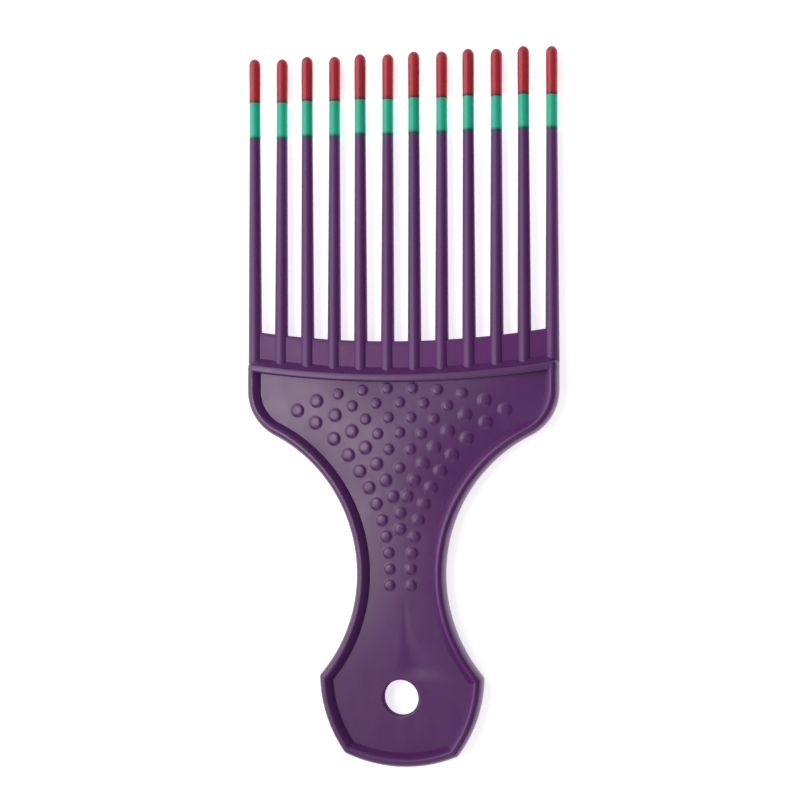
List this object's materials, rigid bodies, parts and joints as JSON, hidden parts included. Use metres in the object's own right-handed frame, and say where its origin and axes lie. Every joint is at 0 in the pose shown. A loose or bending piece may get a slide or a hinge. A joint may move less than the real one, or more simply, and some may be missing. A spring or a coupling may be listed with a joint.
{
  "type": "wide tooth comb",
  "caption": "Wide tooth lift comb: a waisted handle with raised rim, grip dots and hanging hole, a broad head and long round teeth with two-colour dipped tips.",
  "frame": {"origin": "on the resting plane, under the middle of the comb's length and width", "axes": "+Y along the comb towards the tooth tips, +Z out of the front face, +X to the right seen from the front"},
  "size_m": [0.0822, 0.185, 0.0066],
  "materials": {
    "purple_plastic": "satin moulded plastic",
    "green_coat": "satin dip coat",
    "red_coat": "satin dip coat"
  },
  "bodies": {
    "root": {"handle_plate": "purple_plastic", "grip_dots_front": "purple_plastic", "grip_dots_back": "purple_plastic", "rim": "purple_plastic", "cross_rib": "purple_plastic", "tooth_web": "purple_plastic", "tooth_01": "purple_plastic", "tooth_02": "purple_plastic", "tooth_03": "purple_plastic", "tooth_04": "purple_plastic", "tooth_05": "purple_plastic", "tooth_06": "purple_plastic", "tooth_07": "purple_plastic", "tooth_08": "purple_plastic", "tooth_09": "purple_plastic", "tooth_10": "purple_plastic", "tooth_11": "purple_plastic", "tooth_12": "purple_plastic", "green_coat_01": "green_coat", "green_coat_02": "green_coat", "green_coat_03": "green_coat", "green_coat_04": "green_coat", "green_coat_05": "green_coat", "green_coat_06": "green_coat", "green_coat_07": "green_coat", "green_coat_08": "green_coat", "green_coat_09": "green_coat", "green_coat_10": "green_coat", "green_coat_11": "green_coat", "green_coat_12": "green_coat", "red_tip_01": "red_coat", "red_tip_02": "red_coat", "red_tip_03": "red_coat", "red_tip_04": "red_coat", "red_tip_05": "red_coat", "red_tip_06": "red_coat", "red_tip_07": "red_coat", "red_tip_08": "red_coat", "red_tip_09": "red_coat", "red_tip_10": "red_coat", "red_tip_11": "red_coat", "red_tip_12": "red_coat"}
  },
  "joints": []
}
